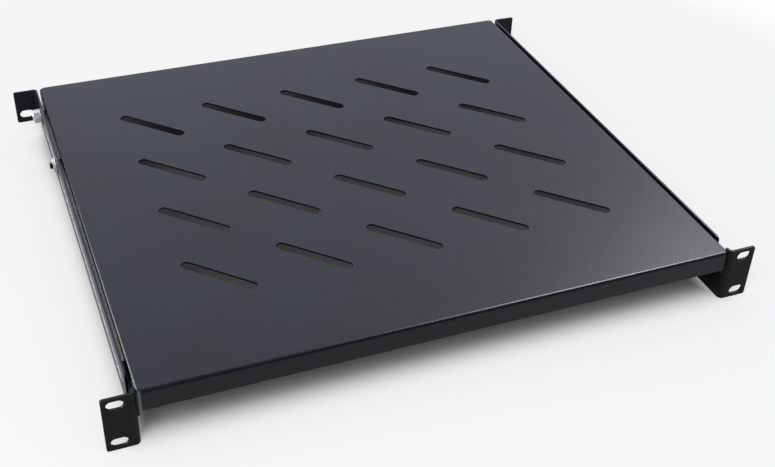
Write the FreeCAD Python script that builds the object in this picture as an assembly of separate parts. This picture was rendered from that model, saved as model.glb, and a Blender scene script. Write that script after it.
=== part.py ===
"""Vented 1U rack shelf with four-point mounting, in millimetres.

+X points to the right, +Y to the back of the rack and +Z up. The origin is the centre of the
front ears' bolt pattern, on the face that meets the rack's front posts.
"""
import FreeCAD
import Part
import math
import os

from FreeCAD import Vector

# --- 19-inch rack -----------------------------------------------------------------------------
RACK_WIDTH = 482.6          # over the outer edges of the ears
RACK_HOLE_INSET = 8.75      # from the outer edge of an ear to the middle of its holes
RACK_HOLES_UP = 31.75       # outer holes of one rack unit
EAR_HEIGHT = 44.0           # one rack unit less the gap to its neighbours
EAR_SLOT_LENGTH = 11.5
EAR_SLOT_WIDTH = 7.0
EAR_CORNER = 1.5            # rounded outer corners of every ear
EAR_REACH = 22.3            # from the side of the tray to the outer edge of an ear

# --- tray, one sheet folded down on four sides ------------------------------------------------
TRAY_DEPTH = 406.0
TRAY_RISE = 0.2             # from the top of the ears up to the tray's upper face
TRAY_SHEET = 1.5
TRAY_BEND = 1.0             # inside radius of its folds
LIP_HEIGHT = 16.0           # front and rear folds
FLANGE_HEIGHT = 25.0        # side folds
LIP_END_GAP = 3.0           # from the outside of the tray to each end of a lip
CORNER_RELIEF = 3.0         # from the outside of a lip to each end of a side flange
FLANGE_CORNER = 4.0

# --- vent slots, all slanting the same way ----------------------------------------------------
VENT_COLUMNS = 5
VENT_ROWS = 4
VENT_PITCH_X = 70.0
VENT_PITCH_Y = 71.4
VENT_SHIFT = 1.1            # from the middle of the tray back to the middle of the pattern
VENT_LENGTH = 61.0
VENT_WIDTH = 8.0
VENT_SLANT = -45.0          # degrees, from back left to front right

# --- front brackets, welded to the outside of the side flanges --------------------------------
BRACKET_SHEET = 2.0
BRACKET_BEND = 2.0          # inside radius
BRACKET_REACH = 42.0        # from the front of the ear to the back of the side plate
BRACKET_STEP_BACK = 14.0    # where the top of the side plate steps down
BRACKET_STEP_DOWN = 9.0
BRACKET_STEP_ROUND = 3.0
BRACKET_HEEL = 8.0          # cut off the lower rear corner

# --- rear rails, drawn out to reach the rack's rear posts -------------------------------------
RAIL_SHEET = 1.5
RAIL_BEND = 2.0             # inside radius
RAIL_HEIGHT = 29.6
RAIL_TOP_GAP = 0.2          # from the tray's upper face down to the top of the rail
RAIL_FRONT_GAP = 18.5       # from the front of the tray to the front of the rail
RAIL_EAR_INSET = 2.0        # from the back of the tray to the back of the rear ear
RAIL_PLAY = 0.05            # on each face of the rail
RAIL_CORNER = 3.0
RAIL_SLOT_PLAY = 2.0        # the slot is this much wider than a bolt
RAIL_SLOT_FRONT = 12.5      # from the front of the rail to the front of its slot
RAIL_SLOT_BEHIND = 4.0      # slot left free behind the rear bolt

# --- clamping hardware, M6 --------------------------------------------------------------------
BOLT_DIAMETER = 6.0
BOLT_HOLE_PLAY = 0.6        # the flange's holes are this much wider than a bolt
BOLT_HEAD_ACROSS = 10.0     # across flats
BOLT_HEAD_HEIGHT = 4.0
BOLT_TIP = 0.6              # chamfer at the end of the shank
REAR_BOLT_INSET = 23.0      # from the back of the tray to the rear bolt
BOLT_SPACING = 83.0         # from the rear bolt forward to the front bolt
FRONT_BOLT_LENGTH = 10.0
REAR_BOLT_LENGTH = 12.0
NUT_ACROSS = 10.0           # across flats
FRONT_NUT_HEIGHT = 1.5      # thin ring nut, which leaves the bolt's end bare
REAR_NUT_HEIGHT = 5.0       # full nut
THREAD_FIT = 0.05           # between a shank and the nut on it
WASHER_DIAMETER = 12.0
WASHER_THICKNESS = 1.2
WASHER_PLAY = 0.4           # the holes of washers and spacers are this much wider than a bolt

# --- places that follow from the sizes above --------------------------------------------------
EAR_EDGE = RACK_WIDTH / 2
TRAY_HALF = EAR_EDGE - EAR_REACH
TRAY_FRONT = -BRACKET_SHEET
TRAY_BACK = TRAY_FRONT + TRAY_DEPTH
EAR_TOP = EAR_HEIGHT / 2
TRAY_TOP = EAR_TOP + TRAY_RISE
EAR_HOLE = EAR_EDGE - RACK_HOLE_INSET
RAIL_INSIDE = TRAY_HALF + BRACKET_SHEET + RAIL_PLAY
RAIL_OUTSIDE = RAIL_INSIDE + RAIL_SHEET
RAIL_TOP = TRAY_TOP - RAIL_TOP_GAP
RAIL_BOTTOM = RAIL_TOP - RAIL_HEIGHT
RAIL_FRONT = TRAY_FRONT + RAIL_FRONT_GAP
RAIL_BACK = TRAY_BACK - RAIL_EAR_INSET
BOLT_LEVEL = (RAIL_TOP + RAIL_BOTTOM) / 2
REAR_BOLT = TRAY_BACK - REAR_BOLT_INSET
FRONT_BOLT = REAR_BOLT - BOLT_SPACING
HEAD_SEAT = TRAY_HALF - TRAY_SHEET
WASHER_SEAT = RAIL_OUTSIDE + RAIL_PLAY
NUT_SEAT = WASHER_SEAT + WASHER_THICKNESS
BEYOND = 5.0                # how far a cutter runs past what it cuts
SAME = 1e-4                 # two measures nearer than this are equal
ORIGIN = Vector(0, 0, 0)
X = Vector(1, 0, 0)
Y = Vector(0, 1, 0)
Z = Vector(0, 0, 1)
X_TO_Y = Vector(1, 1, 1)    # a third of a turn about this takes X to Y, Y to Z and Z to X


# --- shapes that several pieces use -----------------------------------------------------------
def moved(shape, place, axis=Z, degrees=0.0):
    """A copy turned about an axis through the origin, then moved to its place."""
    return shape.transformed(FreeCAD.Placement(place, FreeCAD.Rotation(axis, degrees)).toMatrix())


def folded_sheet(corners, sheet, bend, run):
    """Sheet folded square at each inner corner of a line, standing on the XY plane.

    The line runs along the outside of the folds and turns to the right at each of them.
    """
    outside = sheet + bend
    pieces = []
    start = Vector(*corners[0], 0)
    for corner, after in zip(corners[1:-1], corners[2:]):
        corner = Vector(*corner, 0)
        back = (start - corner).normalize() * outside
        ahead = (Vector(*after, 0) - corner).normalize() * outside
        middle = corner + (back + ahead) * (1 - math.sqrt(0.5))
        pieces.append(Part.makeLine(start, corner + back))
        pieces.append(Part.Arc(corner + back, middle, corner + ahead).toShape())
        start = corner + ahead
    pieces.append(Part.makeLine(start, Vector(*corners[-1], 0)))
    section = Part.Wire(pieces).makeOffset2D(sheet, fill=True, openResult=True)
    return section.extrude(Z * run)


def oblong(length, width, depth):
    """Round-ended cutter, centred on the origin: its length along X and its depth along Z."""
    half = (length - width) / 2
    radius = width / 2
    block = Part.makeBox(2 * half, width, depth, Vector(-half, -radius, -depth / 2))
    ends = [Part.makeCylinder(radius, depth, Vector(x, 0, -depth / 2)) for x in (-half, half)]
    return block.fuse(ends).removeSplitter()


def edges_along(shape, axis, picked):
    """The straight edges parallel to an axis that have both ends on picked points."""
    found = []
    for edge in shape.Edges:
        ends = [vertex.Point for vertex in edge.Vertexes]
        if len(ends) == 2 and (ends[1] - ends[0]).cross(axis).Length < SAME and all(map(picked, ends)):
            found.append(edge)
    return found


def near(measure, *values):
    """Whether a measure equals one of the values."""
    return any(abs(measure - value) < SAME for value in values)


def hexagon(across, height):
    """Hexagonal prism from the YZ plane towards +X."""
    turn = math.radians(60)
    radius = across / math.sqrt(3)
    corners = [Vector(0, radius * math.cos(i * turn), radius * math.sin(i * turn)) for i in range(7)]
    return Part.Face(Part.makePolygon(corners)).extrude(X * height)


def ring(thickness):
    """Washer or spacer from the YZ plane towards +X."""
    disc = Part.makeCylinder(WASHER_DIAMETER / 2, thickness, ORIGIN, X)
    bore = (BOLT_DIAMETER + WASHER_PLAY) / 2
    return disc.cut(Part.makeCylinder(bore, thickness, ORIGIN, X))


# --- tray -------------------------------------------------------------------------------------
def vent_cutters():
    """The slanted slots, set out in columns and rows."""
    slot = oblong(VENT_LENGTH, VENT_WIDTH, 2 * (TRAY_SHEET + BEYOND))
    middle = (TRAY_FRONT + TRAY_BACK) / 2 + VENT_SHIFT
    cutters = []
    for row in range(VENT_ROWS):
        for column in range(VENT_COLUMNS):
            x = (column - (VENT_COLUMNS - 1) / 2) * VENT_PITCH_X
            y = middle + (row - (VENT_ROWS - 1) / 2) * VENT_PITCH_Y
            cutters.append(moved(slot, Vector(x, y, TRAY_TOP), Z, VENT_SLANT))
    return cutters


def bolt_hole_cutters():
    """One bore through both side flanges at each pair of bolts."""
    radius = (BOLT_DIAMETER + BOLT_HOLE_PLAY) / 2
    start = -TRAY_HALF - BEYOND
    return [Part.makeCylinder(radius, -2 * start, Vector(start, y, BOLT_LEVEL), X)
            for y in (FRONT_BOLT, REAR_BOLT)]


def shelf_tray():
    """Flat top with a lip folded down at the front and back and a flange at each side."""
    low = TRAY_TOP - FLANGE_HEIGHT
    section = [(-TRAY_HALF, low), (-TRAY_HALF, TRAY_TOP), (TRAY_HALF, TRAY_TOP), (TRAY_HALF, low)]
    flanges = folded_sheet(section, TRAY_SHEET, TRAY_BEND, TRAY_DEPTH - 2 * CORNER_RELIEF)
    flanges = moved(flanges, Vector(0, TRAY_BACK - CORNER_RELIEF, 0), X, 90)
    ends = (TRAY_FRONT + CORNER_RELIEF, TRAY_BACK - CORNER_RELIEF)
    corners = edges_along(flanges, X, lambda p: near(p.z, low) and near(p.y, *ends))
    flanges = flanges.makeFillet(FLANGE_CORNER, corners)

    low = TRAY_TOP - LIP_HEIGHT
    section = [(TRAY_FRONT, low), (TRAY_FRONT, TRAY_TOP), (TRAY_BACK, TRAY_TOP), (TRAY_BACK, low)]
    lips = folded_sheet(section, TRAY_SHEET, TRAY_BEND, 2 * (TRAY_HALF - LIP_END_GAP))
    lips = moved(lips, Vector(LIP_END_GAP - TRAY_HALF, 0, 0), X_TO_Y, 120)

    tray = flanges.fuse(lips).removeSplitter()
    return tray.cut(vent_cutters() + bolt_hole_cutters()).removeSplitter()


# --- front bracket, right hand ----------------------------------------------------------------
def front_bracket():
    """Ear for the front post, folded back into a plate along the side of the tray."""
    back = TRAY_FRONT + BRACKET_REACH
    line = [(EAR_EDGE, TRAY_FRONT), (TRAY_HALF, TRAY_FRONT), (TRAY_HALF, back)]
    bracket = folded_sheet(line, BRACKET_SHEET, BRACKET_BEND, EAR_HEIGHT)
    bracket = moved(bracket, Vector(0, 0, -EAR_TOP))
    heel = edges_along(bracket, X, lambda p: near(p.y, back) and near(p.z, -EAR_TOP))
    bracket = bracket.makeChamfer(BRACKET_HEEL, heel)
    outer = edges_along(bracket, Y, lambda p: near(p.x, EAR_EDGE) and near(p.z, -EAR_TOP, EAR_TOP))
    bracket = bracket.makeFillet(EAR_CORNER, outer)

    step = TRAY_FRONT + BRACKET_STEP_BACK
    floor = EAR_TOP - BRACKET_STEP_DOWN
    block = Part.makeBox(BRACKET_SHEET + 2 * BEYOND, back + BEYOND - step, BRACKET_STEP_DOWN + BEYOND,
                         Vector(TRAY_HALF - BEYOND, step, floor))
    inner = edges_along(block, X, lambda p: near(p.y, step) and near(p.z, floor))
    cutters = [block.makeFillet(BRACKET_STEP_ROUND, inner)]
    slot = oblong(EAR_SLOT_LENGTH, EAR_SLOT_WIDTH, 2 * (BRACKET_SHEET + BEYOND))
    for z in (-RACK_HOLES_UP / 2, RACK_HOLES_UP / 2):
        cutters.append(moved(slot, Vector(EAR_HOLE, 0, z), X, 90))
    return bracket.cut(cutters)


# --- rear rail, right hand --------------------------------------------------------------------
def rear_rail():
    """Slotted plate that slides beside the tray and ends in an ear for the rear post."""
    line = [(RAIL_INSIDE, RAIL_FRONT), (RAIL_INSIDE, RAIL_BACK), (EAR_EDGE, RAIL_BACK)]
    rail = folded_sheet(line, RAIL_SHEET, RAIL_BEND, RAIL_HEIGHT)
    rail = moved(rail, Vector(0, 0, RAIL_BOTTOM))
    outer = edges_along(rail, Y, lambda p: near(p.x, EAR_EDGE) and near(p.z, RAIL_TOP, RAIL_BOTTOM))
    rail = rail.makeFillet(EAR_CORNER, outer)
    tip = edges_along(rail, X, lambda p: near(p.y, RAIL_FRONT) and near(p.z, RAIL_TOP, RAIL_BOTTOM))
    rail = rail.makeFillet(RAIL_CORNER, tip)

    start = RAIL_FRONT + RAIL_SLOT_FRONT
    end = REAR_BOLT + BOLT_DIAMETER / 2 + RAIL_SLOT_BEHIND
    depth = 2 * (RAIL_SHEET + BEYOND)
    guide = oblong(end - start, BOLT_DIAMETER + RAIL_SLOT_PLAY, depth)
    guide = moved(guide, Vector(RAIL_INSIDE, (start + end) / 2, BOLT_LEVEL), X_TO_Y, 120)
    slot = moved(oblong(EAR_SLOT_LENGTH, EAR_SLOT_WIDTH, depth), Vector(EAR_HOLE, RAIL_BACK, 0), X, 90)
    return rail.cut([guide, slot])


# --- clamping hardware, right hand ------------------------------------------------------------
def bolt(length):
    """Hex-head bolt with its seat on the YZ plane and its shank towards +X."""
    head = moved(hexagon(BOLT_HEAD_ACROSS, BOLT_HEAD_HEIGHT), ORIGIN, Z, 180)
    radius = BOLT_DIAMETER / 2
    shank = Part.makeCylinder(radius, length - BOLT_TIP, ORIGIN, X)
    tip = Part.makeCone(radius, radius - BOLT_TIP, BOLT_TIP, X * (length - BOLT_TIP), X)
    return head.fuse([shank, tip]).removeSplitter()


def nut(height):
    """Hex nut from the YZ plane towards +X."""
    bore = Part.makeCylinder(BOLT_DIAMETER / 2 + THREAD_FIT, height, ORIGIN, X)
    return hexagon(NUT_ACROSS, height).cut(bore)


def clamp(name, y, bolt_length, nut_height):
    """A bolt through the flange and the rail's slot, with its spacer, washer and nut."""
    return {
        f"{name}_bolt": moved(bolt(bolt_length), Vector(HEAD_SEAT, y, BOLT_LEVEL)),
        f"{name}_spacer": moved(ring(BRACKET_SHEET), Vector(TRAY_HALF, y, BOLT_LEVEL)),
        f"{name}_washer": moved(ring(WASHER_THICKNESS), Vector(WASHER_SEAT, y, BOLT_LEVEL)),
        f"{name}_nut": moved(nut(nut_height), Vector(NUT_SEAT, y, BOLT_LEVEL)),
    }


# --- the whole shelf --------------------------------------------------------------------------
def build():
    """Every piece by name: the tray, and the right-hand pieces with their left-hand copies."""
    right = {"front_bracket": front_bracket(), "rear_rail": rear_rail()}
    right.update(clamp("front", FRONT_BOLT, FRONT_BOLT_LENGTH, FRONT_NUT_HEIGHT))
    right.update(clamp("rear", REAR_BOLT, REAR_BOLT_LENGTH, REAR_NUT_HEIGHT))
    pieces = {"shelf_tray": shelf_tray()}
    for name, shape in right.items():
        pieces[f"{name}_right"] = shape
        pieces[f"{name}_left"] = shape.mirror(ORIGIN, X)
    return pieces


os.makedirs("parts", exist_ok=True)
for node, solid in build().items():
    solid.exportStep(f"parts/{node}.step")
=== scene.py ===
"""A vented 1U rack shelf with four-point mounting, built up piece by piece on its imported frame."""
import math

import bmesh
import bpy
from mathutils import Matrix, Vector
from mathutils.geometry import delaunay_2d_cdt


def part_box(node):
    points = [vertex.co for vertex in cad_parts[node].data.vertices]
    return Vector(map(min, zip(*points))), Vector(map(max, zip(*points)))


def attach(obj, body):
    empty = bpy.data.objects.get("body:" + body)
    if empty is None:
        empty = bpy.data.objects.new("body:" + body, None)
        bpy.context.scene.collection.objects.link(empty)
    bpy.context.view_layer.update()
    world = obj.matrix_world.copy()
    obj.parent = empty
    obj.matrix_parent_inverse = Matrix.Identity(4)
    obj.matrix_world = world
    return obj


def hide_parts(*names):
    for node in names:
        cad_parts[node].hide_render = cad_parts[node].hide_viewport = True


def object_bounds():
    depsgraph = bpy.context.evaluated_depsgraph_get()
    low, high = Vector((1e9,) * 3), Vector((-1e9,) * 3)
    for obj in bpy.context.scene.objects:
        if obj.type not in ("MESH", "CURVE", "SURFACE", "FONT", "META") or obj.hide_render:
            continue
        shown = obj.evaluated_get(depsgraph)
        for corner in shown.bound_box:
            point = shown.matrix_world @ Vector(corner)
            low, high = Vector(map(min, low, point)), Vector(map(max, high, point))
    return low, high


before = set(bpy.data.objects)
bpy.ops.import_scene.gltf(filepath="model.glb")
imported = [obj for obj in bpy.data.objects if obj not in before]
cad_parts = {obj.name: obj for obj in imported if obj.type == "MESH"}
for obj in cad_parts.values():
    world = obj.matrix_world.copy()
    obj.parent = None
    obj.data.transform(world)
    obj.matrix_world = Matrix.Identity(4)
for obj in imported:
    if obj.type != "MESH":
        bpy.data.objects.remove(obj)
cad_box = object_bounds()

# --- Tray ---------------------------------------------------------------------------------------
# One sheet of 1.5 mm steel: a flat top punched with twenty slanted vents, a lip folded down at
# the front and at the back, and a deeper flange folded down each side, drilled for the bolts.
# It wears a satin black powder coat, with the fine orange peel that the powder leaves.


def feed(tree, node, feeds):
    """Feeds a node with sockets or plain values by the names of its inputs."""
    for name, given in dict(feeds).items():
        for source in given if isinstance(given, list) else [given]:
            if isinstance(source, bpy.types.NodeSocket):
                tree.links.new(source, node.inputs[name])
            else:
                node.inputs[name].default_value = source
    return node


def step(tree, kind, feeds=(), **settings):
    """Adds a node to a tree, sets it and feeds it."""
    node = tree.nodes.new(kind)
    for name, value in settings.items():
        setattr(node, name, value)
    return feed(tree, node, feeds)


def new_finish(name):
    """A fresh material and its tree."""
    finish = bpy.data.materials.new(name)
    finish.use_nodes = True
    return finish, finish.node_tree


def powder_coat(name, deep, pale, matt, gloss, peel):
    """Black powder coat: two blacks that drift into each other under a fine orange peel."""
    coat, tree = new_finish(name)
    place = step(tree, "ShaderNodeTexCoord").outputs["Object"]
    thin, thick, sheen_spread, dimple_depth = 0.35, 0.65, 0.03, 0.00004

    def grain(per_metre, detail, low, high):
        cloud = {"Vector": place, "Scale": per_metre, "Detail": detail}
        noise = step(tree, "ShaderNodeTexNoise", cloud).outputs["Fac"]
        ends = {"From Min": thin, "From Max": thick, "To Min": low, "To Max": high}
        return step(tree, "ShaderNodeMapRange", {"Value": noise, **ends}).outputs["Result"]

    blacks = {"A": (*deep, 1), "B": (*pale, 1), "Factor": grain(9, 4, 0, 1)}
    shade = step(tree, "ShaderNodeMix", blacks, data_type="RGBA")
    sheen = grain(420, 3, matt - sheen_spread, matt + sheen_spread)
    dimples = {"Strength": peel, "Distance": dimple_depth, "Height": grain(700, 2, 0, 1)}
    skin = step(tree, "ShaderNodeBump", dimples)
    feed(tree, tree.nodes["Principled BSDF"],
         {"Base Color": shade.outputs["Result"], "Roughness": sheen,
          "Normal": skin.outputs["Normal"], "IOR": gloss})
    return coat


def recipe(name, **sizes):
    """A Geometry Nodes tree with a geometry in and out, and a named input for each size."""
    tree = bpy.data.node_groups.new(name, "GeometryNodeTree")
    tree.interface.new_socket("Geometry", in_out="OUTPUT", socket_type="NodeSocketGeometry")
    tree.interface.new_socket("Geometry", in_out="INPUT", socket_type="NodeSocketGeometry")
    for size, value in sizes.items():
        kind = "NodeSocketInt" if isinstance(value, int) else "NodeSocketFloat"
        tree.interface.new_socket(size, in_out="INPUT", socket_type=kind).default_value = value
    tree.interface.new_socket("finish", in_out="INPUT", socket_type="NodeSocketMaterial")
    return tree, tree.nodes.new("NodeGroupInput").outputs


def reckon(tree, operation, *values):
    """The result of one step of arithmetic in a tree."""
    return step(tree, "ShaderNodeMath", dict(enumerate(values)), operation=operation).outputs[0]


def xyz(tree, **axes):
    """A vector in a tree, from the lengths or angles given for its axes."""
    return step(tree, "ShaderNodeCombineXYZ", axes).outputs[0]


def moved(tree, piece, **axes):
    """Moves a piece of a tree along its axes."""
    shift = {"Geometry": piece.outputs[0], "Translation": xyz(tree, **axes)}
    return step(tree, "GeometryNodeTransform", shift)


def repeated(tree, piece, points, angles=(0, 0, 0)):
    """Sets a piece of a tree on each of some points."""
    copies = {"Points": points, "Instance": piece.outputs[0], "Rotation": angles}
    return step(tree, "GeometryNodeInstanceOnPoints", copies)


def close_recipe(tree, piece, finish):
    """Ends a tree with real geometry in its finish."""
    real = step(tree, "GeometryNodeRealizeInstances", {"Geometry": piece.outputs[0]})
    dress = {"Geometry": real.outputs[0], "Material": finish}
    dressed = step(tree, "GeometryNodeSetMaterial", dress)
    step(tree, "NodeGroupOutput", {"Geometry": dressed.outputs[0]})


def plain(piece):
    """Works a piece's modifiers into its mesh."""
    bpy.context.view_layer.update()
    solved = piece.evaluated_get(bpy.context.evaluated_depsgraph_get())
    piece.data = bpy.data.meshes.new_from_object(solved)
    piece.modifiers.clear()
    return piece


def cook(name, tree, start, **values):
    """Runs a tree on a mesh of points or edges and keeps the result as a plain piece."""
    mesh = bpy.data.meshes.new(name)
    mesh.from_pydata(*start)
    piece = bpy.data.objects.new(name, mesh)
    bpy.context.collection.objects.link(piece)
    nodes = piece.modifiers.new(name, "NODES")
    nodes.node_group = tree
    for socket in tree.interface.items_tree:
        if socket.in_out == "INPUT" and socket.name in values:
            nodes[socket.identifier] = values[socket.name]
    return plain(piece)


def oblong(x, y, length, width):
    """The outline of a round-ended slot that lies along x."""
    loop, steps = [], 24
    for end, turn in ((1, -90), (-1, 90)):
        centre = x + end * (length - width) / 2
        for i in range(steps + 1):
            angle = math.radians(turn + i * 180 / steps)
            loop.append(Vector((centre + math.cos(angle) * width / 2,
                                y + math.sin(angle) * width / 2)))
    return loop


def rounded(*corners):
    """A closed outline through (x, y, radius) corners."""
    loop, steps = [], 8
    for i, (x, y, radius) in enumerate(corners):
        corner = Vector((x, y))
        back = (Vector(corners[i - 1][:2]) - corner).normalized()
        ahead = (Vector(corners[(i + 1) % len(corners)][:2]) - corner).normalized()
        if radius == 0:
            loop.append(corner)
            continue
        half = back.angle(ahead) / 2
        centre = corner + (back + ahead).normalized() * radius / math.sin(half)
        start = corner + back * radius / math.tan(half) - centre
        end = corner + ahead * radius / math.tan(half) - centre
        for t in range(steps + 1):
            loop.append(centre + start.slerp(end, t / steps).normalized() * radius)
    return loop


def face(sheet, corners, out):
    """Adds one face to the sheet, turned to look outwards."""
    made = sheet.faces.new(corners)
    made.normal_update()
    if made.normal.dot(out) < 0:
        made.normal_flip()


def panel(sheet, outline, holes, place, out):
    """Cuts a flat panel with its holes and lays it in the sheet."""
    points, edges = [], []
    for loop in (outline, *holes):
        first = len(points)
        points += loop
        edges += [(first + i, first + (i + 1) % len(loop)) for i in range(len(loop))]
    only_enclosed, closeness = 1, 1e-7
    flat, _, triangles, *_ = delaunay_2d_cdt(points, edges, [], only_enclosed, closeness)
    corners = [sheet.verts.new(place(*point)) for point in flat]

    def in_hole(point):
        for hole in holes:
            crossings = 0
            for a, b in zip(hole, hole[1:] + hole[:1]):
                if (a.y > point.y) != (b.y > point.y):
                    crossings += point.x < a.x + (point.y - a.y) / (b.y - a.y) * (b.x - a.x)
            if crossings % 2:
                return True
        return False

    for triangle in triangles:
        if not in_hole((flat[triangle[0]] + flat[triangle[1]] + flat[triangle[2]]) / 3):
            face(sheet, [corners[i] for i in triangle], Vector(out))


def fold(sheet, start, end, first, last, radius):
    """Bends the sheet round an axis, from the way that one panel looks to the next one's."""
    start, end, first, last = map(Vector, (start, end, first, last))
    rows, steps = [], 10
    for i in range(steps + 1):
        angle = math.radians(90 / steps * i)
        reach = (first * math.cos(angle) + last * math.sin(angle)) * radius
        rows.append((sheet.verts.new(start + reach), sheet.verts.new(end + reach), reach))
    for (a, b, reach), (c, d, _) in zip(rows, rows[1:]):
        face(sheet, (a, b, d, c), reach)


def thicken(sheet, name, gauge, finish, edge_round=0.00022):
    """Closes the folded sheet, gives it its gauge and breaks its cut edges."""
    bmesh.ops.remove_doubles(sheet, verts=sheet.verts, dist=1e-6)
    mesh = bpy.data.meshes.new(name)
    sheet.to_mesh(mesh)
    sheet.free()
    mesh.materials.append(finish)
    mesh.shade_smooth()
    piece = bpy.data.objects.new(name, mesh)
    bpy.context.collection.objects.link(piece)
    solid = piece.modifiers.new("gauge", "SOLIDIFY")
    solid.thickness = gauge
    solid.offset = -1
    solid.use_even_offset = True
    edge = piece.modifiers.new("broken_edges", "BEVEL")
    edge.width = edge_round
    edge.segments = 2
    edge.limit_method = "ANGLE"
    edge.angle_limit = math.radians(60)
    piece.modifiers.new("flat_faces", "WEIGHTED_NORMAL")
    return plain(piece)


tray_coat = powder_coat("tray_coat", deep=(0.0030, 0.0036, 0.0056), pale=(0.0042, 0.0052, 0.0082),
                        matt=0.30, gloss=1.31, peel=0.16)

low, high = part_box("shelf_tray")
gauge, bend, corner_relief, lip_height, vents_back = 0.0015, 0.0025, 0.003, 0.016, 0.0011
lip_end = high.x - corner_relief
lip_foot = high.z - lip_height
flange_front, flange_back = low.y + corner_relief, high.y - corner_relief
flat_x, flat_front, flat_back = high.x - bend, low.y + bend, high.y - bend
flange_top = high.z - bend

tree, given = recipe("vented_top", slot_length=0.061, slot_width=0.008, slant=0.0, across=5,
                     deep=4, pitch_across=0.07, pitch_deep=0.0714, middle=0.2, height=0.0)
slot = step(tree, "GeometryNodeCurvePrimitiveQuadrilateral",
            {"Width": given["slot_length"], "Height": given["slot_width"]})
just_under_half = 0.49999
ends = reckon(tree, "MULTIPLY", given["slot_width"], just_under_half)
slot = step(tree, "GeometryNodeFilletCurve",
            {"Curve": slot.outputs[0], "Count": 12, "Radius": ends}, mode="POLY")
gaps_x = reckon(tree, "SUBTRACT", given["across"], 1)
gaps_y = reckon(tree, "SUBTRACT", given["deep"], 1)
centres = step(tree, "GeometryNodeMeshGrid",
               {"Size X": reckon(tree, "MULTIPLY", gaps_x, given["pitch_across"]),
                "Size Y": reckon(tree, "MULTIPLY", gaps_y, given["pitch_deep"]),
                "Vertices X": given["across"], "Vertices Y": given["deep"]})
slots = repeated(tree, slot, centres.outputs[0], xyz(tree, Z=given["slant"]))
slots = moved(tree, slots, Y=given["middle"])
slots = step(tree, "GeometryNodeRealizeInstances", {"Geometry": slots.outputs[0]})
edge = step(tree, "GeometryNodeMeshToCurve", {"Mesh": given["Geometry"]})
cuts = step(tree, "GeometryNodeJoinGeometry", {"Geometry": [edge.outputs[0], slots.outputs[0]]})
top = step(tree, "GeometryNodeFillCurve", {"Curve": cuts.outputs[0]}, mode="TRIANGLES")
top = moved(tree, top, Z=given["height"])
close_recipe(tree, top, given["finish"])

blank = [(lip_end, flat_front), (lip_end, flange_front), (flat_x, flange_front),
         (flat_x, flange_back), (lip_end, flange_back), (lip_end, flat_back)]
blank += [(-x, y) for x, y in reversed(blank)]
rim = [(i, (i + 1) % len(blank)) for i in range(len(blank))]
top = cook("vented_top", tree, ([(x, y, 0) for x, y in blank], rim, []),
           slant=math.radians(-45), middle=(low.y + high.y) / 2 + vents_back, height=high.z,
           finish=tray_coat)

sheet = bmesh.new()
sheet.from_mesh(top.data)
bpy.data.objects.remove(top)
for cut in sheet.faces:
    if cut.normal.z < 0:
        cut.normal_flip()
bolts = [sum(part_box(f"{end}_bolt_right"), Vector()) / 2 for end in ("front", "rear")]
# The bolt holes are a hair longer than wide, so that no two points of an outline meet.
hole_length, hole_width, flange_corner = 0.0066, 0.00659, 0.004
drilled = [oblong(bolt.y, bolt.z, hole_length, hole_width) for bolt in bolts]
flange = rounded((flange_front, flange_top, 0), (flange_back, flange_top, 0),
                 (flange_back, low.z, flange_corner), (flange_front, low.z, flange_corner))
for side in (-1, 1):
    fold(sheet, (side * flat_x, flange_front, flange_top), (side * flat_x, flange_back, flange_top),
         (0, 0, 1), (side, 0, 0), bend)
    panel(sheet, flange, drilled, lambda y, z: (side * high.x, y, z), (side, 0, 0))
lip = rounded((-lip_end, flange_top, 0), (lip_end, flange_top, 0),
              (lip_end, lip_foot, 0), (-lip_end, lip_foot, 0))
for y, inside, out in ((low.y, flat_front, -1), (high.y, flat_back, 1)):
    fold(sheet, (-lip_end, inside, flange_top), (lip_end, inside, flange_top),
         (0, 0, 1), (0, out, 0), bend)
    panel(sheet, lip, [], lambda x, z: (x, y, z), (0, out, 0))
tray = thicken(sheet, "folded_tray", gauge, tray_coat)
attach(tray, "shelf")
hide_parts("shelf_tray")

# --- Front brackets -----------------------------------------------------------------------------
# Two ears of 2 mm steel for the rack's front posts, each folded back into a plate that is
# spot-welded to the tray's side flange. Their coat is plainer and blacker than the tray's.
ear_coat = powder_coat("bracket_coat", deep=(0.0052, 0.0038, 0.0036),
                       pale=(0.0074, 0.0055, 0.0053), matt=0.45, gloss=1.22, peel=0.4)
gauge, bend, ear_corner = 0.002, 0.004, 0.0015
ear_slot, slot_inset, slot_rise = (0.0115, 0.007), 0.00875, 0.015875
heel_cut, step_back, step_down, step_corner = 0.008, 0.006, 0.009, 0.003


def ear_outline(start, outer, low, high):
    """An ear, from the end of its fold to its rounded outer corners."""
    return rounded((start, low.z, 0), (outer, low.z, ear_corner),
                   (outer, high.z, ear_corner), (start, high.z, 0))


for side, turned in (("left", -1), ("right", 1)):
    low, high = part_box(f"front_bracket_{side}")
    inner, outer = sorted((abs(low.x), abs(high.x)))
    sheet = bmesh.new()
    ear = ear_outline(inner + bend, outer, low, high)
    slots = [oblong(outer - slot_inset, z, *ear_slot) for z in (-slot_rise, slot_rise)]
    panel(sheet, ear, slots, lambda x, z: (turned * x, low.y, z), (0, -1, 0))
    corner = (turned * (inner + bend), low.y + bend)
    fold(sheet, (*corner, low.z), (*corner, high.z), (0, -1, 0), (-turned, 0, 0), bend)
    step_y, step_z = low.y + step_back, high.z - step_down
    plate = rounded((low.y + bend, low.z, 0), (high.y - heel_cut, low.z, 0),
                    (high.y, low.z + heel_cut, 0), (high.y, step_z, 0),
                    (step_y, step_z, step_corner), (step_y, high.z, 0), (low.y + bend, high.z, 0))
    panel(sheet, plate, [], lambda y, z: (turned * inner, y, z), (-turned, 0, 0))
    bracket = thicken(sheet, f"front_ear_{side}", gauge, ear_coat)
    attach(bracket, "shelf")
    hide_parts(f"front_bracket_{side}")

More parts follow.
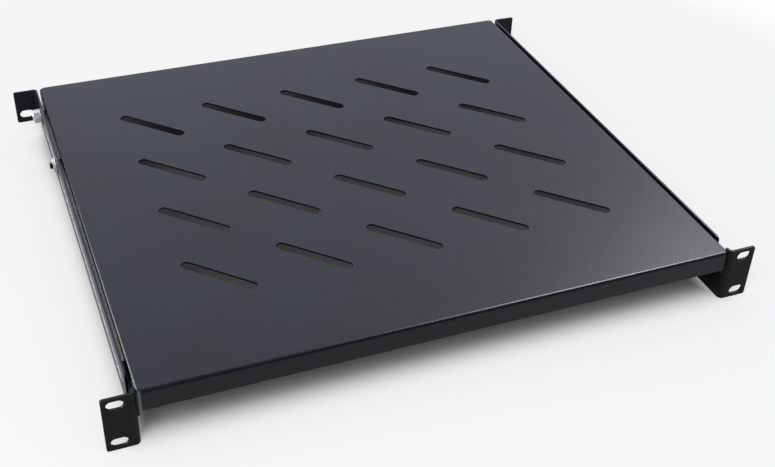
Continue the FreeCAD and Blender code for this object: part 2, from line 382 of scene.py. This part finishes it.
# --- Bolts --------------------------------------------------------------------------------------
# Four M6 hex bolts, their heads inside the tray and their threads pointing out at the sides.
# The rear pair is zinc-plated and the front pair is blackened.


def plated(name, dull, bright, rough):
    """Plated steel, a little cloudy, with the fine marks of handling."""
    plate, tree = new_finish(name)
    cloudy, clean, handling = 0.455, 0.65, 0.08
    place = step(tree, "ShaderNodeTexCoord").outputs["Object"]
    cloud = step(tree, "ShaderNodeTexNoise",
                 {"Vector": place, "Scale": 450, "Detail": 4}).outputs["Fac"]
    tone = step(tree, "ShaderNodeValToRGB", {"Fac": cloud})
    for stop, share, colour in zip(tone.color_ramp.elements, (cloudy, clean), (dull, bright)):
        stop.position = share
        stop.color = (*colour, 1)
    marks = step(tree, "ShaderNodeMapRange",
                 {"Value": cloud, "To Min": rough - handling, "To Max": rough + handling})
    feed(tree, tree.nodes["Principled BSDF"],
         {"Base Color": tone.outputs["Color"], "Roughness": marks.outputs["Result"], "Metallic": 1})
    return plate


def swung(tree, piece, angles):
    """Turns a piece of a tree about its axes."""
    return step(tree, "GeometryNodeTransform", {"Geometry": piece.outputs[0], "Rotation": angles})


zinc = plated("zinc_plate", dull=(0.66, 0.67, 0.68), bright=(0.90, 0.91, 0.91), rough=0.42)
oxide = plated("black_oxide", dull=(0.012, 0.012, 0.013), bright=(0.03, 0.03, 0.032), rough=0.4)
head_height, round_face = 0.004, 0.48
flats_up, to_the_side = math.pi / 6, (0, math.pi / 2, 0)

tree, given = recipe("hex_bolt", across=0.01, head=head_height, thread=0.00594, pitch=0.001,
                     depth=0.0006, tip=0.0006, reach=0.01)
radius = reckon(tree, "DIVIDE", given["across"], math.sqrt(3))
block = step(tree, "GeometryNodeMeshCylinder",
             {"Vertices": 6, "Radius": radius, "Depth": given["head"]})
brow = reckon(tree, "MULTIPLY", given["across"], round_face)
skirt = reckon(tree, "MULTIPLY_ADD", given["head"], math.sqrt(3), brow)
crown = step(tree, "GeometryNodeMeshCone",
             {"Vertices": 64, "Radius Top": skirt, "Radius Bottom": brow, "Depth": given["head"]})
sink = reckon(tree, "MULTIPLY", given["head"], -0.5)
crown = moved(tree, crown, Z=sink)
head = step(tree, "GeometryNodeMeshBoolean", {"Mesh 2": [block.outputs[0], crown.outputs[0]]},
            operation="INTERSECT", solver="EXACT")
head = moved(tree, head, Z=sink)
round_bar = reckon(tree, "MULTIPLY", given["thread"], 0.5)
bar = step(tree, "GeometryNodeMeshCylinder",
           {"Vertices": 40, "Side Segments": 100, "Radius": round_bar, "Depth": given["reach"]})
bar = moved(tree, bar, Z=reckon(tree, "MULTIPLY", given["reach"], 0.5))

# The bar's skin is drawn in to the thread's valleys, and again towards its tip.
here = step(tree, "GeometryNodeInputPosition").outputs[0]
x, y, z = step(tree, "ShaderNodeSeparateXYZ", {"Vector": here}).outputs
angle = reckon(tree, "DIVIDE", reckon(tree, "ARCTAN2", y, x), 2 * math.pi)
turns = reckon(tree, "SUBTRACT", reckon(tree, "DIVIDE", z, given["pitch"]), angle)
ridge = reckon(tree, "MULTIPLY", reckon(tree, "PINGPONG", turns, 0.5), 2)
valley = reckon(tree, "MULTIPLY", reckon(tree, "SUBTRACT", 1, ridge), given["depth"])
crest = reckon(tree, "SUBTRACT", round_bar, valley)
left = reckon(tree, "SUBTRACT", given["reach"], z)
taper = reckon(tree, "ADD", left, reckon(tree, "SUBTRACT", round_bar, given["tip"]))
ratio = reckon(tree, "DIVIDE", reckon(tree, "MINIMUM", crest, taper), round_bar)
cut = xyz(tree, X=reckon(tree, "MULTIPLY", x, ratio), Y=reckon(tree, "MULTIPLY", y, ratio), Z=z)
bar = step(tree, "GeometryNodeSetPosition", {"Geometry": bar.outputs[0], "Position": cut})

# Each bolt lies on its side, with its thread pointing away from the middle of the tray.
bolt = step(tree, "GeometryNodeJoinGeometry", {"Geometry": [head.outputs[0], bar.outputs[0]]})
bolt = swung(tree, bolt, to_the_side)
here = step(tree, "GeometryNodeInputPosition").outputs[0]
seat_x = step(tree, "ShaderNodeSeparateXYZ", {"Vector": here}).outputs["X"]
about = reckon(tree, "MULTIPLY", reckon(tree, "LESS_THAN", seat_x, 0), math.pi)
bolt = repeated(tree, bolt, given["Geometry"], xyz(tree, X=flats_up, Z=about))
close_recipe(tree, bolt, given["finish"])


def hardware(nodes, piece):
    """Gives a set of small parts its crisp edges and its body, and hides the frame's nodes that they
    replace.
    """
    piece.data.shade_smooth()
    piece.data.set_sharp_from_angle(angle=math.radians(32))
    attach(piece, "shelf")
    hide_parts(*nodes)


for end, metal, finish in (("front", oxide, "black_oxide"), ("rear", zinc, "zinc_plate")):
    names = [f"{end}_bolt_left", f"{end}_bolt_right"]
    low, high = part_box(names[1])
    seat = low.x + head_height
    points = [(side * seat, (low.y + high.y) / 2, (low.z + high.z) / 2) for side in (-1, 1)]
    pair = cook(f"{end}_bolts", tree, (points, [], []), reach=high.x - seat, finish=metal)
    hardware(names, pair)

# --- Spacers ------------------------------------------------------------------------------------
# Four steel rings, turned from bar and zinc-plated. They sit on the bolts between the tray's
# flanges and the rails, and hold the rails clear of the flanges, level with the brackets.
tree, given = recipe("ring", outside=0.012, bore=0.0064, thickness=0.002, edge=0.0002)
less = reckon(tree, "SUBTRACT", given["outside"], given["bore"])
both = reckon(tree, "ADD", given["outside"], given["bore"])
wall = reckon(tree, "MULTIPLY", less, 0.5)
mean_radius = reckon(tree, "MULTIPLY", both, 0.25)
path = step(tree, "GeometryNodeCurvePrimitiveCircle", {"Resolution": 72, "Radius": mean_radius})
section = step(tree, "GeometryNodeCurvePrimitiveQuadrilateral",
               {"Width": wall, "Height": given["thickness"]})
section = step(tree, "GeometryNodeFilletCurve",
               {"Curve": section.outputs[0], "Count": 3, "Radius": given["edge"]}, mode="POLY")
ring = step(tree, "GeometryNodeCurveToMesh",
            {"Curve": path.outputs[0], "Profile Curve": section.outputs[0]})
ring = swung(tree, ring, to_the_side)
ring = repeated(tree, ring, given["Geometry"])
close_recipe(tree, ring, given["finish"])


def nodes_at(kind):
    """The four nodes of one kind of hardware, and their centres."""
    names = [f"{end}_{kind}_{side}" for end in ("front", "rear") for side in ("left", "right")]
    return names, [tuple(sum(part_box(name), Vector()) / 2) for name in names]


names, centres = nodes_at("spacer")
hardware(names, cook("spacers", tree, (centres, [], []), finish=zinc))

# --- Rear rails ---------------------------------------------------------------------------------
# Two 1.5 mm steel plates, each with one long slot that slides along a side's bolts, and an ear
# folded out for the rack's rear post. They wear the tray's coat, rubbed bare inside the slot.
bare_steel = plated("bare_steel", dull=(0.60, 0.60, 0.60), bright=(0.80, 0.79, 0.78), rough=0.5)
gauge, bend, edge_round, plate_corner = 0.0015, 0.0035, 0.0003, 0.003
guide_width, guide_inset, past_bolt, rubbed_within = 0.008, 0.0125, 0.007, 0.00405
for side, turned in (("left", -1), ("right", 1)):
    low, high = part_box(f"rear_rail_{side}")
    inner, outer = sorted((abs(low.x), abs(high.x)))
    level = (low.z + high.z) / 2
    sheet = bmesh.new()
    plate = rounded((low.y, low.z, plate_corner), (high.y - bend, low.z, 0),
                    (high.y - bend, high.z, 0), (low.y, high.z, plate_corner))
    first, last = low.y + guide_inset, bolts[1].y + past_bolt
    guide = oblong((first + last) / 2, level, last - first, guide_width)
    panel(sheet, plate, [guide], lambda y, z: (turned * inner, y, z), (-turned, 0, 0))
    corner = (turned * (inner + bend), high.y - bend)
    fold(sheet, (*corner, low.z), (*corner, high.z), (-turned, 0, 0), (0, 1, 0), bend)
    ear = ear_outline(inner + bend, outer, low, high)
    ear_hole = oblong(outer - slot_inset, 0, *ear_slot)
    panel(sheet, ear, [ear_hole], lambda x, z: (turned * x, high.y, z), (0, 1, 0))
    rail = thicken(sheet, f"slotted_rail_{side}", gauge, tray_coat, edge_round)
    rail.data.materials.append(bare_steel)
    straight = (last - first) / 2 - guide_width / 2
    for patch in rail.data.polygons:
        along = max(0, abs(patch.center.y - (first + last) / 2) - straight)
        if math.hypot(along, patch.center.z - level) < rubbed_within:
            patch.material_index = 1
    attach(rail, f"rail_{side}")
    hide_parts(f"rear_rail_{side}")

# --- Washers ------------------------------------------------------------------------------------
# Four steel washers, stamped and zinc-plated. They lie on the bolts against the outside of the
# rails, and spread the nuts' grip over the edges of the slots.
names, centres = nodes_at("washer")
washers = cook("washers", tree, (centres, [], []), thickness=0.0012, edge=0.00025, finish=zinc)
hardware(names, washers)

# --- Nuts ---------------------------------------------------------------------------------------
# Four zinc-plated M6 hex nuts, thin ones at the front and full ones at the rear, chamfered on
# both faces. Each is wound on its bolt and clamps a rail against its spacer.
tree, given = recipe("hex_nut", across=0.01, height=0.005, bore=0.00602)
radius = reckon(tree, "DIVIDE", given["across"], math.sqrt(3))
block = step(tree, "GeometryNodeMeshCylinder",
             {"Vertices": 6, "Radius": radius, "Depth": given["height"]})
brow = reckon(tree, "MULTIPLY", given["across"], round_face)
skirt = reckon(tree, "MULTIPLY_ADD", given["height"], math.sqrt(3), brow)
cone = step(tree, "GeometryNodeMeshCone",
            {"Vertices": 64, "Radius Top": brow, "Radius Bottom": skirt, "Depth": given["height"]})
cone = moved(tree, cone, Z=reckon(tree, "MULTIPLY", given["height"], -0.5))
other = swung(tree, cone, (math.pi, 0, 0))
nut = step(tree, "GeometryNodeMeshBoolean",
           {"Mesh 2": [block.outputs[0], cone.outputs[0], other.outputs[0]]},
           operation="INTERSECT", solver="EXACT")
bore_radius, right_through = reckon(tree, "MULTIPLY", given["bore"], 0.5), 0.02
bar = step(tree, "GeometryNodeMeshCylinder",
           {"Vertices": 64, "Radius": bore_radius, "Depth": right_through})
nut = step(tree, "GeometryNodeMeshBoolean", {"Mesh 1": nut.outputs[0], "Mesh 2": [bar.outputs[0]]},
           operation="DIFFERENCE", solver="EXACT")
nut = swung(tree, nut, to_the_side)
nut = repeated(tree, nut, given["Geometry"], (flats_up, 0, 0))
close_recipe(tree, nut, given["finish"])

names, centres = nodes_at("nut")
for end, pair in (("front", slice(0, 2)), ("rear", slice(2, 4))):
    low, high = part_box(names[pair][1])
    nuts = cook(f"{end}_nuts", tree, (centres[pair], [], []), height=high.x - low.x, finish=zinc)
    hardware(names[pair], nuts)

# --- Floor, lamps and camera --------------------------------------------------------------------
# A pale card floor that the shelf stands on, with a painted shadow under the tray, painted shade in
# its reflections and a painted white glow over the shadow beside it, fading to white further off,
# under a white sky, and four soft lamps: one in front and, kept off the floor, one at the left and
# two behind.
low, high = cad_box
under_middle, floor_gap = Vector((0, 0.2, 0)), 0.0002
bpy.ops.mesh.primitive_plane_add(size=40, location=(0, under_middle.y, low.z - floor_gap))
floor = bpy.context.object
floor.name = "studio_floor"
paper, tree = new_finish("pale_floor_painted_shade")


def span(tree, value, start, end, first, last):
    """A smooth change from the first value to the last, while another goes from start to end."""
    edges = {"Value": value, "From Min": start, "From Max": end, "To Min": first, "To Max": last}
    return step(tree, "ShaderNodeMapRange", edges,
                interpolation_type="SMOOTHSTEP").outputs["Result"]


# Painted shadow: under the tray the card's colour is darkened, most of all towards the back, and
# more where ambient occlusion finds the shelf close. Past its edges it is pale.
coords = step(tree, "ShaderNodeTexCoord").outputs["Object"]
x, y, z = step(tree, "ShaderNodeSeparateXYZ", {"Vector": coords}).outputs
sideways = reckon(tree, "ABSOLUTE", x)
lengthways = reckon(tree, "ABSOLUTE", reckon(tree, "SUBTRACT", y, 0.025))
past_sides = span(tree, sideways, 0.205, 0.235, 0.5, 1)
past_ends = span(tree, lengthways, 0.20, 0.24, 0.5, 1)
outside = reckon(tree, "MAXIMUM", past_sides, past_ends)
painted_shadow_mask = step(tree, "ShaderNodeAmbientOcclusion", {"Distance": 0.12}).outputs["AO"]
painted_shadow_mask = reckon(tree, "MULTIPLY", painted_shadow_mask, outside)
painted_shadow_depth = span(tree, y, 0.10, 0.15, 0.6, 0.08)
tone = span(tree, painted_shadow_mask, 0.42, 0.70, painted_shadow_depth, 0.94)

# Painted shade in reflections: mirrored in the black coat, the card's colour is darkened, most of
# all close by the rails.
rays = step(tree, "ShaderNodeLightPath").outputs
painted_mirror_shade = span(tree, sideways, 0.235, 0.32, 0.1, 1)
painted_mirror_shade = reckon(tree, "MINIMUM", reckon(tree, "MAXIMUM", painted_mirror_shade, past_ends), 0.75)
painted_mirror_shade = reckon(tree, "MAXIMUM", painted_mirror_shade, reckon(tree, "SUBTRACT", 1, rays["Is Glossy Ray"]))
card = feed(tree, tree.nodes["Principled BSDF"],
            {"Base Color": reckon(tree, "MULTIPLY", tone, painted_mirror_shade), "Roughness": 0.9,
             "Specular IOR Level": 0.1})

# To the eye, straight or mirrored, it fades to white further off. Beside the shelf, a painted white
# glow lightens the shelf's shadow.
distance = step(tree, "ShaderNodeVectorMath", {0: coords}, operation="LENGTH").outputs["Value"]
far = span(tree, distance, 0.31, 0.66, 0, 1)
painted_glow_beside = reckon(tree, "MULTIPLY", span(tree, outside, 0.5, 1, 0, 0.65), painted_mirror_shade)
eye = reckon(tree, "MAXIMUM", rays["Is Camera Ray"], rays["Is Transmission Ray"])
eye = reckon(tree, "MAXIMUM", eye, rays["Is Glossy Ray"])
white = step(tree, "ShaderNodeEmission", {"Color": (1, 1, 1, 1), "Strength": 1.0}).outputs[0]
fade = reckon(tree, "MULTIPLY", reckon(tree, "MAXIMUM", far, painted_glow_beside), eye)
blend = step(tree, "ShaderNodeMixShader", {0: fade, 1: card.outputs[0], 2: white}).outputs[0]
feed(tree, tree.nodes["Material Output"], {"Surface": blend})
floor.data.materials.append(paper)

# To the eye the sky is plain white. The black coat mirrors it bright behind the shelf, and dark
# overhead, in front and low at the left.
room = bpy.data.worlds.new("studio")
bpy.context.scene.world = room
room.use_nodes = True
tree = room.node_tree
rays = step(tree, "ShaderNodeLightPath").outputs
way = step(tree, "ShaderNodeTexCoord").outputs["Generated"]
x, y, z = step(tree, "ShaderNodeSeparateXYZ", {"Vector": way}).outputs
ceiling = span(tree, z, 0.74, 0.86, 1, 0.03)
behind = span(tree, y, -0.25, 0.1, 0.06, 1)
rise = span(tree, z, 0.40, 0.64, 1.30, 1.75)
aside = span(tree, x, 0.1, 0.5, 1, 0.86)
inward = span(tree, x, -0.36, -0.16, 0.2, 1)
above = span(tree, z, 0.26, 0.40, 0.2, 1)
glow = reckon(tree, "MULTIPLY", reckon(tree, "MULTIPLY", ceiling, behind),
              reckon(tree, "MULTIPLY", rise, aside))
glow = reckon(tree, "MULTIPLY", glow, reckon(tree, "MAXIMUM", inward, above))


def sky(colour, strength):
    """One of the sky's lights."""
    light = {"Color": (*colour, 1), "Strength": strength}
    return step(tree, "ShaderNodeBackground", light).outputs[0]


soft, shine = sky((0.95, 0.97, 1.0), 0.62), sky((0.93, 0.96, 1.08), glow)
white = sky((1, 1, 1), 1.0)
lit = step(tree, "ShaderNodeMixShader", {0: rays["Is Glossy Ray"], 1: soft, 2: shine}).outputs[0]
eye = reckon(tree, "MAXIMUM", rays["Is Camera Ray"], rays["Is Transmission Ray"])
seen = step(tree, "ShaderNodeMixShader", {0: eye, 1: lit, 2: white}).outputs[0]
feed(tree, tree.nodes["World Output"], {"Surface": seen})


def lamp(name, bearing, height, distance, width, tall, watts):
    """A soft lamp, placed by its bearing from the back of the shelf and its height in degrees."""
    light = bpy.data.lights.new(name, "AREA")
    light.shape = "RECTANGLE"
    light.size, light.size_y, light.energy = width, tall, watts
    body = bpy.data.objects.new(name, light)
    bpy.context.collection.objects.link(body)
    bearing, height = math.radians(bearing), math.radians(height)
    away = Vector((math.sin(bearing) * math.cos(height), math.cos(bearing) * math.cos(height),
                   math.sin(height)))
    body.location = under_middle + away * distance
    body.rotation_euler = away.to_track_quat("Z", "Y").to_euler()
    return body


off_floor = bpy.data.collections.new("off_floor")
off_floor.objects.link(floor)
off_floor.collection_objects[0].light_linking.link_state = "EXCLUDE"
lamp("key_front", 222, 46, 2.2, 1.1, 1.1, 17)
for name, *spec in (("back_right", 67, 46, 2.0, 1.1, 0.9, 23),
                    ("strip_left", -58, 17, 1.8, 1.0, 0.8, 36),
                    ("glint_right", 86, 60, 2.0, 0.6, 0.5, 44)):
    lamp(name, *spec).light_linking.receiver_collection = off_floor

lens = bpy.data.cameras.new("camera")
lens.sensor_width = 36
lens.lens = 54.77
camera = bpy.data.objects.new("camera", lens)
bpy.context.collection.objects.link(camera)
right = Vector((0.92952, -0.36748, 0.03096))
up = Vector((0.19344, 0.55733, 0.80745))
away = Vector((0.31397, 0.74454, -0.58913))
turn = Matrix((right, up, -away)).transposed().to_4x4()
camera.matrix_world = Matrix.Translation((-0.2839, -0.54597, 0.5353)) @ turn
bpy.context.scene.camera = camera
bpy.context.scene.view_settings.view_transform = "Standard"
